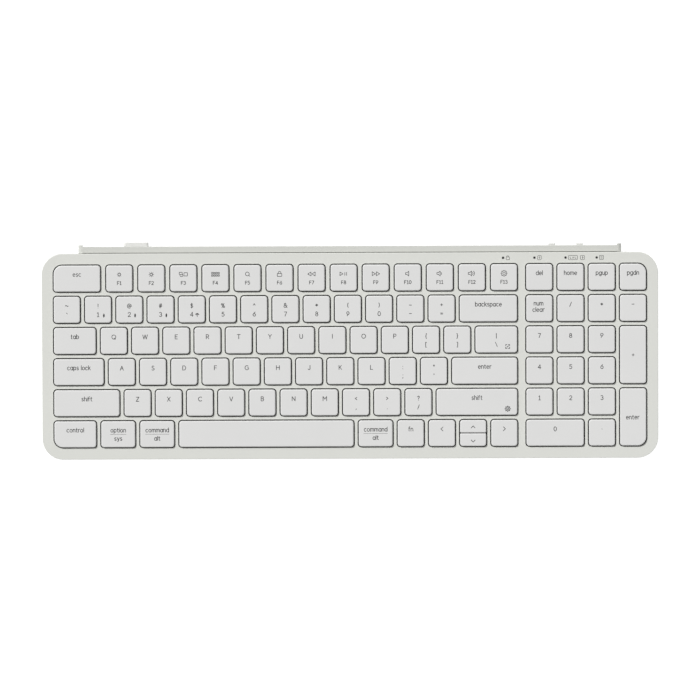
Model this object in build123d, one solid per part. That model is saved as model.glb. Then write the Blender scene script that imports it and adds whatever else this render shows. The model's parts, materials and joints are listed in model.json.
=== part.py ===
from build123d import *
import math
import os

# Slim wireless keyboard with a numeric keypad in the same case.
# Frame: X to the right, Y to the rear, Z up, origin on the table under the middle of the whole object.
# The flat upper body (the slab) is drawn in its own plane: u to the right, v along the slab towards the rear,
# w out of the key surface, with w = 0 on the top face of the case. The slab is then tilted about X.

# ---------------------------------------------------------------- driving dimensions, mm and degrees
KEY_PITCH = 19.05           # distance between the centres of neighbouring keys
KEY_WEB = 1.71              # width of the case between two key apertures
KEY_GAP = 0.69              # clearance between a keycap and its aperture, all round
FUNCTION_PITCH = 19.553     # pitch of the thirteen function keys
ESCAPE_UNITS = 1.653        # width of the escape key, in key pitches
BLOCK_UNITS = 15            # width of the letter block
KEYPAD_UNITS = 4            # width of the numeric keypad
BLOCK_SPACING = 2.47        # extra space between the letter block and the keypad
ROWS = 6

CASE_WIDTH = 376.1
CASE_DEPTH = 125.9
KEY_FIELD_SHIFT = 0.2       # middle of the key field behind the middle of the slab
CASE_CORNER = 12.8
SLAB_THICKNESS = 4.6
TOP_PLATE = 1.2             # thickness of the case top between the keys
CASE_WALL = 1.8
TOP_EDGE_ROUND = 0.35
LOWER_EDGE_ROUND = 1.0
TILT = 4.0                  # slope of the key surface
FRONT_FOOT_HEIGHT = 1.0     # height of the slab's lower front edge above the table

PRESSED_PROUD = 0.3         # keycap top above the case top when the key is fully pressed
CAP_SKIRT_DEPTH = 0.6       # keycap skirt below the case top
CAP_TOP_WALL = 1.0
CAP_SKIRT_WALL = 1.1
CAP_EDGE_ROUND = 0.7
CAP_CORNER = 1.75
CAP_OUTER_CORNER = 5.2      # corner of the four keys at the corners of the key field
KEY_TRAVEL = 1.4            # stroke of every key
CLIP_WIDTH = 0.6            # clip rails under the cap that hold the scissor links
CLIP_HEIGHT = 0.45
CLIP_LENGTH = 6.0
CLIP_OFFSET = 3.9
ARROW_SPLIT = 0.45          # gap between the two half-height arrow keys

MEMBRANE_TOP = -2.5         # w of the membrane's upper face
MEMBRANE_THICKNESS = 0.25
BASE_PLATE_THICKNESS = 0.4
COVER_THICKNESS = 1.2       # bottom cover
RIBBON_SLOT_WIDTH = 30.0    # slot in the bottom cover for the membrane's ribbon
RIBBON_SLOT_DEPTH = 5.0
RIBBON_SLOT_U = 93.0
RIBBON_SLOT_INSET = 16.0    # in front of the slab's rear edge
FIT = 0.1                   # gap between fitted moulded pieces
REST_GAP = 0.05             # gap between pieces that rest on each other
THREAD_GAP = 0.05           # between a screw's shank and its hole
DRILL_TOP = -0.9            # w of the end of a screw hole in the top case
EDGE_MARGIN = 2.2           # inset of the membrane and base plate from the outside of the case

BAR_LENGTH = 331.2
BAR_DEPTH = 27.0            # from the bar's front edge to its recessed rear face
BAR_BEHIND = 4.1            # recessed rear face behind the slab's rear edge
BAR_LIP_DEPTH = 0.95        # end lips beyond the recessed face
BAR_LIP_WIDTH = 2.4
BAR_BOTTOM = 1.0            # height above the table
BAR_TOP = 12.2              # ledge behind the slab
BAR_WALL = 1.5
BAR_END_ROUND = 2.2         # rounding of the bar at its left and right ends
BAR_REAR_ROUND = 0.5
BAR_GROOVE_WIDTH = 0.2      # narrow groove in the ledge along the slab's rear edge
BAR_GROOVE_DEPTH = 1.8
BAR_FRONT_SETBACK = 5.0     # the bar's floor starts this far behind its upper front edge
BAR_POST_RADIUS = 3.0
PANEL_THICKNESS = 1.2
PANEL_BOTTOM = 2.7
PANEL_TOP = 10.6

RECEIVER_X = -130.4
RECEIVER_WIDTH = 15.0
RECEIVER_HEIGHT = 6.4
RECEIVER_PROUD = 2.6        # receiver beyond the recessed rear face
PLUG_WIDTH = 12.0
PLUG_HEIGHT = 4.5
PLUG_LENGTH = 12.0
PLUG_WALL = 0.4
PLUG_POCKET = 1.0
PLUG_CLEARANCE = 0.2
PLUG_END_WALL = 1.2         # closed end of the plug's shell
TONGUE_SIDE_GAP = 1.0
TONGUE_THICKNESS = 1.6
TONGUE_DROP = 0.6           # tongue below the middle of the plug
GRIP_CORNER = 1.2
GRIP_EDGE_ROUND = 0.5
SLEEVE_WALL = 0.6           # sleeve in the port panel that holds the plug
SLEEVE_LENGTH = 11.0
PORT_HEIGHT = 5.8           # height of the receiver, socket and switch centres above the table

SOCKET_X = 103.0
SOCKET_WIDTH = 8.94
SOCKET_HEIGHT = 3.2
SOCKET_LENGTH = 7.3
SOCKET_WALL = 0.3
SOCKET_BACK = 1.2           # closed back of the socket
SOCKET_TONGUE_WIDTH = 6.7
SOCKET_TONGUE_THICKNESS = 0.7
SOCKET_TONGUE_LENGTH = 5.9
PORT_GAP = 0.25             # between the socket and the panel
KNOB_GAP = 0.3              # between a knob at its end of travel and its slot
MODE_SWITCH_X = 123.3
SYSTEM_SWITCH_X = 141.3
SWITCH_TRAVEL = 2.0
KNOB_WIDTH = 4.0
KNOB_HEIGHT = 1.8
KNOB_PROUD = 1.25
KNOB_CORNER = 0.5
KNOB_GROOVE_WIDTH = 0.35
KNOB_GROOVE_DEPTH = 0.25
KNOB_GROOVE_PITCH = 1.0
STEM_WIDTH = 2.0
STEM_HEIGHT = 0.9
STEM_LENGTH = 1.6           # stem in front of the knob, into the switch
HOUSING_WIDTH = 10.0        # slide-switch housing behind the panel
HOUSING_DEPTH = 3.2
HOUSING_HEIGHT = 3.4
HOUSING_GAP = 0.5           # between the panel and the housing
HOUSING_SLOT_WIDTH = 6.6
HOUSING_SLOT_DEPTH = 1.1
HOUSING_SLOT_HEIGHT = 1.2

INDICATOR_X = [93.5, 112.6, 131.6, 150.6]
INDICATOR_FROM_REAR = 3.3
INDICATOR_RADIUS = 0.7
FLANGE_WIDTH = 0.5          # flange of a light pipe under the case top
FLANGE_THICKNESS = 0.6

FRONT_SCREWS_U = (-150, -75, 0, 75, 150)
SIDE_SCREWS_V = (-32, 32)
REAR_SCREWS_U = (-173, 173)
BAR_SCREWS_U = (-155, -110, 50, 158)
BAR_SCREW_INSET = 8.0       # in front of the slab's rear edge
SCREW_INSET = 2.4           # from the inside of the case wall
SCREW_RADIUS = 0.8
SCREW_HEAD_RADIUS = 1.6
SCREW_HEAD_HEIGHT = 0.55
BAR_SCREW_HEAD_HEIGHT = 0.9
CROSS_LENGTH = 1.9          # cross recess of a screw head
CROSS_WIDTH = 0.4
CROSS_DEPTH = 0.35
HEAD_RECESS = 0.65          # depth of the recess for a head in the bottom cover
BOSS_RADIUS = 1.9
BOARD_X = 108.15            # middle of the circuit board
BOARD_WIDTH = 84.3
BOARD_DEPTH = 16.8
BOARD_THICKNESS = 1.0
BOARD_GAP = 0.4             # between the board and the port panel
# Chips on the board: place of the middle from the board's middle, width, depth, height.
CHIPS = [(-28, 2, 7, 7, 0.9), (-14, 3, 5, 5, 0.8), (-22, -5, 3, 4, 1.1), (-4, -5.5, 6, 3, 1.6),
         (8, -6, 3, 2, 0.9), (15, -5.5, 4, 4, 0.8), (28, -5, 7, 4, 1.2)]
CELLS_X = (-68.0, -8.0)     # middles of the two battery cells
CELL_LENGTH = 57.0
CELL_DEPTH = 16.5
CELL_HEIGHT = 4.4
CELL_EDGE_ROUND = 1.6
CELL_SETBACK = 7.6          # behind the bar's front edge

FRONT_FOOT_X = 140.0
FRONT_FOOT_WIDTH = 44.0
FRONT_FOOT_DEPTH = 7.0
FRONT_FOOT_INSET = 9.0      # middle of the foot behind the slab's front edge
REAR_FOOT_X = 132.0
REAR_FOOT_WIDTH = 50.0
REAR_FOOT_DEPTH = 9.0
REAR_FOOT_INSET = 8.5       # middle of the foot in front of the bar's rear face

SPACE_MECHANISMS = (-30, 30)    # places of the space bar's two scissors from its middle
DOME_RADIUS = 3.2
SHORT_DOME_RADIUS = 1.7
LINK_LENGTH = 9.6
LINK_WIDTH = 11.4
LINK_THICKNESS = 0.7
LINK_RAIL = 1.0
SHORT_LINK_LENGTH = 5.3     # scissor links of the half-height arrow keys
SHORT_LINK_RAIL = 0.6
LINK_SIDE_GAP = 0.15        # between the inner and the outer link, each side
LINK_LEAN_PART = 0.93       # share of the full lean, which keeps the links clear of cap and membrane
STABILISER_HEIGHT = -0.2    # w of the stabiliser wires
STABILISER_OFFSET = 6.4     # from the middle line of a long key
STABILISER_SHORTER = 4.5    # wire shorter than its keycap
STABILISER_ARM = 3.0
DOME_FOOT_HEIGHT = 0.35
DOME_WALL_HEIGHT = 0.9      # where the cone starts
DOME_BUTTON_HEIGHT = 0.6
WIRE_RADIUS = 0.4
MERGE = 0.1                 # overlap of two shapes that are joined into one solid
THROUGH = 1.0               # extra length of a cutter beyond the face it cuts

# ---------------------------------------------------------------- derived places
slope = math.radians(TILT)
half_width = CASE_WIDTH / 2
half_depth = CASE_DEPTH / 2
key_margin_u = (CASE_WIDTH - (BLOCK_UNITS + KEYPAD_UNITS) * KEY_PITCH - BLOCK_SPACING) / 2
block_left = -half_width + key_margin_u
keypad_left = block_left + BLOCK_UNITS * KEY_PITCH + BLOCK_SPACING
aperture_inset = KEY_WEB / 2
cap_inset = aperture_inset + KEY_GAP
cap_depth = KEY_PITCH - 2 * cap_inset
membrane_bottom = MEMBRANE_TOP - MEMBRANE_THICKNESS
base_plate_bottom = membrane_bottom - BASE_PLATE_THICKNESS
cap_proud = KEY_TRAVEL + PRESSED_PROUD
cap_ceiling = cap_proud - CAP_TOP_WALL

# Height and depth of the slab's centre, so that the lower front edge stands at its height and the object
# is centred on the origin from the slab's front edge to the receiver's rear face.
slab_z = FRONT_FOOT_HEIGHT + half_depth * math.sin(slope) + SLAB_THICKNESS * math.cos(slope)
front_reach = half_depth * math.cos(slope) - TOP_EDGE_ROUND * math.sin(slope)
rear_reach = half_depth * math.cos(slope) + (SLAB_THICKNESS - LOWER_EDGE_ROUND) * math.sin(slope)
total_depth = front_reach + rear_reach + BAR_BEHIND + RECEIVER_PROUD
slab_y = -total_depth / 2 + front_reach
slab_rear = slab_y + rear_reach
panel_face = slab_rear + BAR_BEHIND
slab_place = Pos(0, slab_y, slab_z) * Rot(TILT, 0, 0)


def underside_height(y, w):
    """Height above the table of the slab plane w at depth y."""
    return slab_z + (y - slab_y) * math.tan(slope) + w / math.cos(slope)


def row_centre(row):
    """v of the middle of a key row, counted from the rear."""
    return ((ROWS - 1) / 2 - row) * KEY_PITCH + KEY_FIELD_SHIFT


# ---------------------------------------------------------------- key layout
class Key:
    """One keycap: its node, the middle of its cell, the cell's size and any corner with a large radius."""

    def __init__(self, node, u, v, cell_width, cell_depth, large_corner=None):
        self.node = node
        self.u = u
        self.v = v
        self.cell_width = cell_width
        self.cell_depth = cell_depth
        self.large_corner = large_corner


def run_of_keys(left, row, entries):
    """Keys side by side from the left; an entry is a node name and the widths of its keys in pitches."""
    keys = []
    for node, widths in entries:
        for units in widths:
            cell_width = units * KEY_PITCH
            keys.append(Key(node, left + cell_width / 2, row_centre(row), cell_width, KEY_PITCH))
            left = left + cell_width
    return keys


def function_row():
    escape_width = ESCAPE_UNITS * KEY_PITCH
    keys = [Key("function_row_keys", block_left + escape_width / 2, row_centre(0), escape_width, KEY_PITCH)]
    last_middle = block_left + (BLOCK_UNITS - 0.5) * KEY_PITCH
    for index in range(13):
        middle = last_middle - (12 - index) * FUNCTION_PITCH
        keys.append(Key("function_row_keys", middle, row_centre(0), KEY_PITCH, KEY_PITCH))
    return keys


LETTER_ROWS = [
    [("number_row_keys", [1] * 13), ("key_backspace", [2])],
    [("key_tab", [1.5]), ("top_letter_row_keys", [1] * 12 + [1.5])],
    [("key_caps_lock", [1.75]), ("home_letter_row_keys", [1] * 11), ("key_enter", [2.25])],
    [("key_left_shift", [2.25]), ("bottom_letter_row_keys", [1] * 10), ("key_right_shift", [2.75])],
]
FRONT_ROW_LEFT = [("modifier_keys", [1.5, 1.25, 1.25]), ("key_space", [5.75]),
                  ("modifier_keys", [1.25, 1]), ("key_left", [1])]
KEYPAD_ROWS = [
    ["key_delete", "key_home", "key_page_up", "key_page_down"],
    ["key_num_lock", "key_divide", "key_multiply", "key_minus"],
    ["key_7", "key_8", "key_9"],
    ["key_4", "key_5", "key_6"],
    ["key_1", "key_2", "key_3"],
]


def all_keys():
    keys = function_row()
    for number, entries in enumerate(LETTER_ROWS):
        keys += run_of_keys(block_left, number + 1, entries)
    keys += run_of_keys(block_left, 5, FRONT_ROW_LEFT)
    right_key_middle = block_left + (BLOCK_UNITS - 0.5) * KEY_PITCH
    keys.append(Key("key_right", right_key_middle, row_centre(5), KEY_PITCH, KEY_PITCH))
    for number, nodes in enumerate(KEYPAD_ROWS):
        keys += run_of_keys(keypad_left, number, [(node, [1]) for node in nodes])
    keys += run_of_keys(keypad_left, 5, [("key_0", [2]), ("key_decimal", [1])])
    last_column = keypad_left + (KEYPAD_UNITS - 0.5) * KEY_PITCH
    for node, upper_row in [("key_plus", 2), ("key_keypad_enter", 4)]:
        middle = row_centre(upper_row) - KEY_PITCH / 2
        keys.append(Key(node, last_column, middle, KEY_PITCH, 2 * KEY_PITCH))
    return keys


def set_large_corners(keys):
    """The four keys at the corners of the key field follow the corners of the case."""
    keys[0].large_corner = (-1, 1)
    for key in keys:
        if key.node == "key_page_down":
            key.large_corner = (1, 1)
        if key.node == "key_keypad_enter":
            key.large_corner = (1, -1)
    front_left = min(keys, key=lambda key: (round(key.v), key.u))
    front_left.large_corner = (-1, -1)


# ---------------------------------------------------------------- helpers
def rounded_outline(width, depth, radius, large_corner=None, large_radius=0.0):
    """A rectangle with rounded corners, one of which may have a larger radius."""
    outline = Rectangle(width, depth)
    if large_corner is None:
        return fillet(outline.vertices(), radius)
    side_u, side_v = large_corner
    special = [p for p in outline.vertices() if p.X * side_u > 0 and p.Y * side_v > 0]
    outline = fillet(special, large_radius)
    square = [p for p in outline.vertices() if abs(abs(p.X) - width / 2) < 0.01
              and abs(abs(p.Y) - depth / 2) < 0.01]
    return fillet(square, radius)


def slab_block(width, depth, low, high, u=0.0, v=0.0):
    """A box in slab coordinates between two heights."""
    return Pos(u, v, (low + high) / 2) * Box(width, depth, high - low)


def post(radius, low, high, u, v):
    """A round post square to the key surface."""
    return Pos(u, v, (low + high) / 2) * Cylinder(radius, high - low)


def save(node, solids):
    """Write one node from its separate solids."""
    pieces = []
    for solid in solids:
        pieces += solid.solids()
    whole = pieces[0] if len(pieces) == 1 else Compound(children=pieces)
    export_step(whole, os.path.join("parts", node + ".step"))


def save_tilted(node, solids):
    save(node, [slab_place * solid for solid in solids])


# ---------------------------------------------------------------- keycaps
def keycap(key):
    """A hollow cap with a rounded top edge and two clip rails under its top."""
    width = key.cell_width - 2 * cap_inset
    depth = key.cell_depth - 2 * cap_inset
    outline = rounded_outline(width, depth, CAP_CORNER, key.large_corner, CAP_OUTER_CORNER)
    return cap_from_outline(outline, width, depth)


def cap_from_outline(outline, width, depth):
    body = Pos(0, 0, -CAP_SKIRT_DEPTH) * extrude(outline, cap_proud + CAP_SKIRT_DEPTH)
    top_edges = body.faces().sort_by(Axis.Z)[-1].edges()
    body = fillet(top_edges, CAP_EDGE_ROUND)
    hollow_width = width - 2 * CAP_SKIRT_WALL
    hollow_depth = depth - 2 * CAP_SKIRT_WALL
    hollow = slab_block(hollow_width, hollow_depth, -CAP_SKIRT_DEPTH - THROUGH, cap_ceiling)
    body = body - hollow
    rail_length = min(CLIP_LENGTH, hollow_depth - 2 * CLIP_WIDTH)
    for side in (-1, 1):
        rail = slab_block(CLIP_WIDTH, rail_length, cap_ceiling - CLIP_HEIGHT, cap_ceiling + MERGE)
        body = body + Pos(side * CLIP_OFFSET, 0, 0) * rail
    return body


def arrow_caps(aperture_middle_u):
    """The up and down keys: two half-height caps that share one square aperture."""
    width = KEY_PITCH - 2 * cap_inset
    half = (cap_depth - ARROW_SPLIT) / 2
    caps = {}
    for node, side in [("key_up", 1), ("key_down", -1)]:
        outline = Rectangle(width, half)
        outer = [p for p in outline.vertices() if p.Y * side > 0]
        outline = fillet(outer, CAP_CORNER)
        inner = [p for p in outline.vertices() if p.Y * side < 0 and abs(abs(p.X) - width / 2) < 0.01
                 and abs(abs(p.Y) - half / 2) < 0.01]
        outline = fillet(inner, CAP_EDGE_ROUND + 0.1)
        cap = cap_from_outline(outline, width, half)
        middle_v = row_centre(5) + side * (half + ARROW_SPLIT) / 2
        caps[node] = Pos(aperture_middle_u, middle_v, 0) * cap
    return caps


def make_keycaps(keys, arrow_u):
    groups = {}
    shapes = {}
    for key in keys:
        size = (round(key.cell_width, 3), round(key.cell_depth, 3), key.large_corner)
        if size not in shapes:
            shapes[size] = keycap(key)
        groups.setdefault(key.node, []).append(Pos(key.u, key.v, 0) * shapes[size])
    for node, cap in arrow_caps(arrow_u).items():
        groups[node] = [cap]
    for node, caps in groups.items():
        save_tilted(node, caps)


# ---------------------------------------------------------------- slab: top case, bottom cover, sheets
def screw_places():
    """Screws around the margin of the slab, outside the key field."""
    side = half_width - CASE_WALL - SCREW_INSET
    front = -half_depth + CASE_WALL + SCREW_INSET
    places = [(u, front) for u in FRONT_SCREWS_U]
    places += [(side * sign, v) for sign in (-1, 1) for v in SIDE_SCREWS_V]
    places += [(u, -front) for u in REAR_SCREWS_U]
    return places


def bar_screw_places():
    """Screws that hold the rear bar to the bottom cover, in slab coordinates."""
    return [(u, half_depth - BAR_SCREW_INSET) for u in BAR_SCREWS_U]


def aperture(key):
    width = key.cell_width - 2 * aperture_inset
    depth = key.cell_depth - 2 * aperture_inset
    large = CAP_OUTER_CORNER + KEY_GAP
    outline = rounded_outline(width, depth, CAP_CORNER + KEY_GAP, key.large_corner, large)
    return Pos(key.u, key.v) * outline


def make_top_case(keys, arrow_u):
    corner_key = Key("arrows", arrow_u, row_centre(5), KEY_PITCH, KEY_PITCH)
    openings = [aperture(key) for key in keys + [corner_key]]
    plate_outline = RectangleRounded(CASE_WIDTH, CASE_DEPTH, CASE_CORNER)
    light_hole = Circle(INDICATOR_RADIUS + REST_GAP)
    holes = [Pos(u, half_depth - INDICATOR_FROM_REAR) * light_hole for u in INDICATOR_X]
    outside = extrude(plate_outline, -SLAB_THICKNESS)
    outside = fillet(outside.faces().sort_by(Axis.Z)[-1].edges(), TOP_EDGE_ROUND)
    outside = fillet(outside.faces().sort_by(Axis.Z)[0].edges(), LOWER_EDGE_ROUND)
    inner_outline = RectangleRounded(CASE_WIDTH - 2 * CASE_WALL, CASE_DEPTH - 2 * CASE_WALL,
                                     CASE_CORNER - CASE_WALL)
    inside = Pos(0, 0, -TOP_PLATE) * extrude(inner_outline, -SLAB_THICKNESS)
    case = outside - inside
    cutters = extrude(Sketch() + openings + holes, -TOP_PLATE - 2 * THROUGH)
    case = case - Pos(0, 0, THROUGH) * cutters
    bosses = []
    drills = []
    for u, v in screw_places():
        bosses.append(post(BOSS_RADIUS, MEMBRANE_TOP + REST_GAP, -TOP_PLATE + MERGE, u, v))
        drills.append(post(SCREW_RADIUS + THREAD_GAP, MEMBRANE_TOP - THROUGH, DRILL_TOP, u, v))
    case = case + bosses
    case = case - drills
    save_tilted("top_case", [case])


def sheet_outline():
    width = CASE_WIDTH - 2 * EDGE_MARGIN
    depth = CASE_DEPTH - 2 * EDGE_MARGIN
    return RectangleRounded(width, depth, CASE_CORNER - EDGE_MARGIN)


def make_sheets():
    """The switch membrane and the steel plate under it, both drilled for the screws."""
    drills = [Pos(u, v) * Circle(SCREW_RADIUS + 2 * FIT) for u, v in screw_places()]
    sheet = sheet_outline() - drills
    membrane = Pos(0, 0, membrane_bottom) * extrude(sheet, MEMBRANE_THICKNESS)
    plate = Pos(0, 0, base_plate_bottom) * extrude(sheet, BASE_PLATE_THICKNESS)
    save_tilted("membrane_circuit", [membrane])
    save_tilted("base_plate", [plate])


def make_bottom_cover():
    inset = 2 * (CASE_WALL + FIT)
    outline = RectangleRounded(CASE_WIDTH - inset, CASE_DEPTH - inset, CASE_CORNER - CASE_WALL - FIT)
    cover = Pos(0, 0, -SLAB_THICKNESS) * extrude(outline, COVER_THICKNESS)
    ribbon_slot = slab_block(RIBBON_SLOT_WIDTH, RIBBON_SLOT_DEPTH, -SLAB_THICKNESS - THROUGH, 0,
                             RIBBON_SLOT_U, half_depth - RIBBON_SLOT_INSET)
    cover = cover - ribbon_slot
    recess_top = -SLAB_THICKNESS + HEAD_RECESS
    for u, v in screw_places():
        cover = cover - post(SCREW_RADIUS + FIT, -SLAB_THICKNESS - THROUGH, 0, u, v)
        cover = cover - post(SCREW_HEAD_RADIUS + FIT, -SLAB_THICKNESS - THROUGH, recess_top, u, v)
    for u, v in bar_screw_places():
        cover = cover - post(SCREW_RADIUS + THREAD_GAP, -SLAB_THICKNESS - THROUGH, 0, u, v)
    save_tilted("bottom_cover", [cover])


def screw(length, head_height):
    """A pan screw with a cross recess, pointing up, with its head's lower face at zero."""
    head = Pos(0, 0, head_height / 2) * Cylinder(SCREW_HEAD_RADIUS, head_height)
    shank = Pos(0, 0, head_height + (length - MERGE) / 2) * Cylinder(SCREW_RADIUS, length + MERGE)
    body = head + shank
    for width, depth in [(CROSS_LENGTH, CROSS_WIDTH), (CROSS_WIDTH, CROSS_LENGTH)]:
        body = body - Box(width, depth, 2 * CROSS_DEPTH)
    return body


def make_screws(bar_screws):
    """All case screws: the ones around the slab and the longer ones that hold the bar."""
    head_bottom = -SLAB_THICKNESS + REST_GAP
    length = -TOP_PLATE + FIT - head_bottom - SCREW_HEAD_HEIGHT
    slab_screw = screw(length, SCREW_HEAD_HEIGHT)
    screws = [slab_place * Pos(u, v, head_bottom) * slab_screw for u, v in screw_places()]
    save("case_screws", screws + bar_screws)


def make_indicators():
    lenses = []
    low = -TOP_PLATE - FLANGE_THICKNESS
    for u in INDICATOR_X:
        v = half_depth - INDICATOR_FROM_REAR
        pipe = post(INDICATOR_RADIUS, low, -REST_GAP, u, v)
        flange = post(INDICATOR_RADIUS + FLANGE_WIDTH, low, -TOP_PLATE - REST_GAP, u, v)
        lenses.append(pipe + flange)
    save_tilted("indicator_lenses", lenses)


# ---------------------------------------------------------------- key mechanisms
def mechanism_places(keys, arrow_u):
    """Middle and depth of each scissor mechanism: one per key, two under the space bar."""
    places = []
    for key in keys:
        if key.node == "key_space":
            places += [(key.u + offset, key.v, False) for offset in SPACE_MECHANISMS]
        else:
            places.append((key.u, key.v, False))
    for side in (-1, 1):
        places.append((arrow_u, row_centre(5) + side * (cap_depth + ARROW_SPLIT) / 4, True))
    return places


def dome(radius):
    """A rubber dome: a foot ring, a cone and a flat button that carries the cap."""
    height = cap_ceiling - MEMBRANE_TOP - FIT
    button = radius * 0.47
    inner_top = (radius * 0.62, DOME_WALL_HEIGHT)
    inner_foot = (radius * 0.78, REST_GAP)
    outer_top = (radius * 0.81, DOME_WALL_HEIGHT)
    profile = Polyline((0, DOME_WALL_HEIGHT), inner_top, inner_foot, (radius, REST_GAP),
                       (radius, DOME_FOOT_HEIGHT), outer_top, (button, height - DOME_BUTTON_HEIGHT),
                       (button, height), (0, height), close=True)
    return revolve(Plane.XZ * make_face(profile), Axis.Z)


def link_frame(width, length, rail, lean):
    """One frame of the scissor: two side rails and two cross bars, leaning about the u axis."""
    ring = Box(width, length, LINK_THICKNESS) - Box(width - 2 * rail, length - 2 * rail, 2 * LINK_THICKNESS)
    return Rot(lean, 0, 0) * ring


def link_lean(length, rise):
    """Lean that lifts one end of a link to the cap and leaves the other on the membrane."""
    return LINK_LEAN_PART * math.degrees(math.asin((rise - LINK_THICKNESS) / length))


def make_mechanisms(keys, arrow_u):
    domes = []
    outer_links = []
    inner_links = []
    low = MEMBRANE_TOP + FIT
    high = cap_ceiling - CLIP_HEIGHT - FIT
    lean = link_lean(LINK_LENGTH, high - low)
    short_lean = link_lean(SHORT_LINK_LENGTH, high - low)
    inner_width = LINK_WIDTH - 2 * LINK_RAIL - 2 * LINK_SIDE_GAP
    short_inner_width = LINK_WIDTH - 2 * SHORT_LINK_RAIL - 2 * LINK_SIDE_GAP
    full_dome = dome(DOME_RADIUS)
    short_dome = dome(SHORT_DOME_RADIUS)
    full_outer = link_frame(LINK_WIDTH, LINK_LENGTH, LINK_RAIL, lean)
    full_inner = link_frame(inner_width, LINK_LENGTH, LINK_RAIL, -lean)
    short_outer = link_frame(LINK_WIDTH, SHORT_LINK_LENGTH, SHORT_LINK_RAIL, short_lean)
    short_inner = link_frame(short_inner_width, SHORT_LINK_LENGTH, SHORT_LINK_RAIL, -short_lean)
    middle = (low + high) / 2
    for u, v, half_height in mechanism_places(keys, arrow_u):
        chosen = short_dome if half_height else full_dome
        domes.append(Pos(u, v, MEMBRANE_TOP) * chosen)
        outer_links.append(Pos(u, v, middle) * (short_outer if half_height else full_outer))
        inner_links.append(Pos(u, v, middle) * (short_inner if half_height else full_inner))
    save_tilted("rubber_domes", domes)
    save_tilted("scissor_outer_links", outer_links)
    save_tilted("scissor_inner_links", inner_links)


def stabiliser_wire(length):
    """A wire bar with its two ends bent in towards the middle of the key."""
    wire = Rot(0, 90, 0) * Cylinder(WIRE_RADIUS, length)
    for side in (-1, 1):
        arm = Pos(side * (length / 2 - WIRE_RADIUS), -STABILISER_ARM / 2, 0) * Rot(90, 0, 0)
        wire = wire + arm * Cylinder(WIRE_RADIUS, STABILISER_ARM)
    return wire


def make_stabilisers(keys):
    wires = []
    for key in keys:
        width = key.cell_width - 2 * cap_inset
        depth = key.cell_depth - 2 * cap_inset
        if key.cell_width >= 2 * KEY_PITCH:
            place = Pos(key.u, key.v + STABILISER_OFFSET, STABILISER_HEIGHT)
            wires.append(place * stabiliser_wire(width - STABILISER_SHORTER))
        elif key.cell_depth >= 2 * KEY_PITCH:
            place = Pos(key.u - STABILISER_OFFSET, key.v, STABILISER_HEIGHT) * Rot(0, 0, 90)
            wires.append(place * stabiliser_wire(depth - STABILISER_SHORTER))
    save_tilted("stabiliser_bars", wires)


# ---------------------------------------------------------------- rear bar and what it holds
def bar_profile(rear, inset):
    """Side outline of the bar, drawn in Y and Z; inset shrinks it inwards for the hollow."""
    front = panel_face - BAR_DEPTH
    low = BAR_BOTTOM + inset
    top = BAR_TOP - inset
    under = -SLAB_THICKNESS - FIT
    behind_slab = slab_rear + FIT + inset
    points = [
        (front + BAR_FRONT_SETBACK + inset, low),
        (rear, low),
        (rear, top),
        (behind_slab, top),
        (behind_slab, underside_height(behind_slab, under)),
        (front + inset, underside_height(front + inset, under)),
    ]
    return points


def bar_prism(points, length, x=0.0):
    """Extrude an outline of (y, z) points along X."""
    outline = make_face(Polyline(*[(y, z) for y, z in points], close=True))
    return Pos(x, 0, 0) * extrude(Plane.YZ * outline, length / 2, both=True)


def make_bar_shell():
    outside = bar_prism(bar_profile(panel_face, 0.0), BAR_LENGTH)
    lip_points = bar_profile(panel_face + BAR_LIP_DEPTH, 0.0)
    for side in (-1, 1):
        lip_x = side * (BAR_LENGTH - BAR_LIP_WIDTH) / 2
        outside = outside + bar_prism(lip_points, BAR_LIP_WIDTH, lip_x)
    ends = [edge for edge in outside.edges().filter_by(Axis.Y)
            if edge.center().Z > BAR_TOP - 0.01 and abs(edge.center().X) > BAR_LENGTH / 2 - 0.01]
    outside = fillet(ends, BAR_END_ROUND)
    ledge_rear = [edge for edge in outside.edges().filter_by(Axis.X)
                  if edge.center().Z > BAR_TOP - 0.01 and abs(edge.center().Y - panel_face) < 0.01]
    outside = fillet(ledge_rear, BAR_REAR_ROUND)
    groove_length = BAR_LENGTH - 2 * BAR_LIP_WIDTH
    groove = Box(groove_length, BAR_GROOVE_WIDTH + FIT, 2 * BAR_GROOVE_DEPTH)
    groove_y = slab_rear + (BAR_GROOVE_WIDTH + FIT) / 2
    outside = outside - Pos(0, groove_y, BAR_TOP) * groove
    hollow = bar_prism(bar_profile(panel_face - BAR_WALL, BAR_WALL), BAR_LENGTH - 2 * BAR_WALL)
    gap_front = panel_face - BAR_DEPTH + 2 * BAR_WALL
    gap_rear = slab_rear - THROUGH
    gap_depth = gap_rear - gap_front
    gap_low = BAR_BOTTOM + 2 * BAR_WALL + THROUGH
    roof_gap = Box(BAR_LENGTH - 2 * BAR_WALL, gap_depth, BAR_TOP)
    shell = outside - hollow - Pos(0, gap_front + gap_depth / 2, gap_low + BAR_TOP / 2) * roof_gap
    panel_slot = Box(BAR_LENGTH - 2 * BAR_LIP_WIDTH, 2 * (BAR_WALL + THROUGH), PANEL_TOP - PANEL_BOTTOM)
    shell = shell - Pos(0, panel_face, (PANEL_TOP + PANEL_BOTTOM) / 2) * panel_slot
    return shell


def bar_posts():
    """Screw posts that rise from the bar's floor to the bottom cover, with their screws."""
    posts = []
    screws = []
    for u, v in bar_screw_places():
        y = slab_y + v * math.cos(slope) + SLAB_THICKNESS * math.sin(slope)
        top = underside_height(y - BAR_POST_RADIUS, -SLAB_THICKNESS - FIT) - REST_GAP
        low = BAR_BOTTOM + BAR_WALL - MERGE
        column = Pos(u, y, (low + top) / 2) * Cylinder(BAR_POST_RADIUS, top - low)
        posts.append(column)
        screws.append((u, y, top))
    return posts, screws


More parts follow.
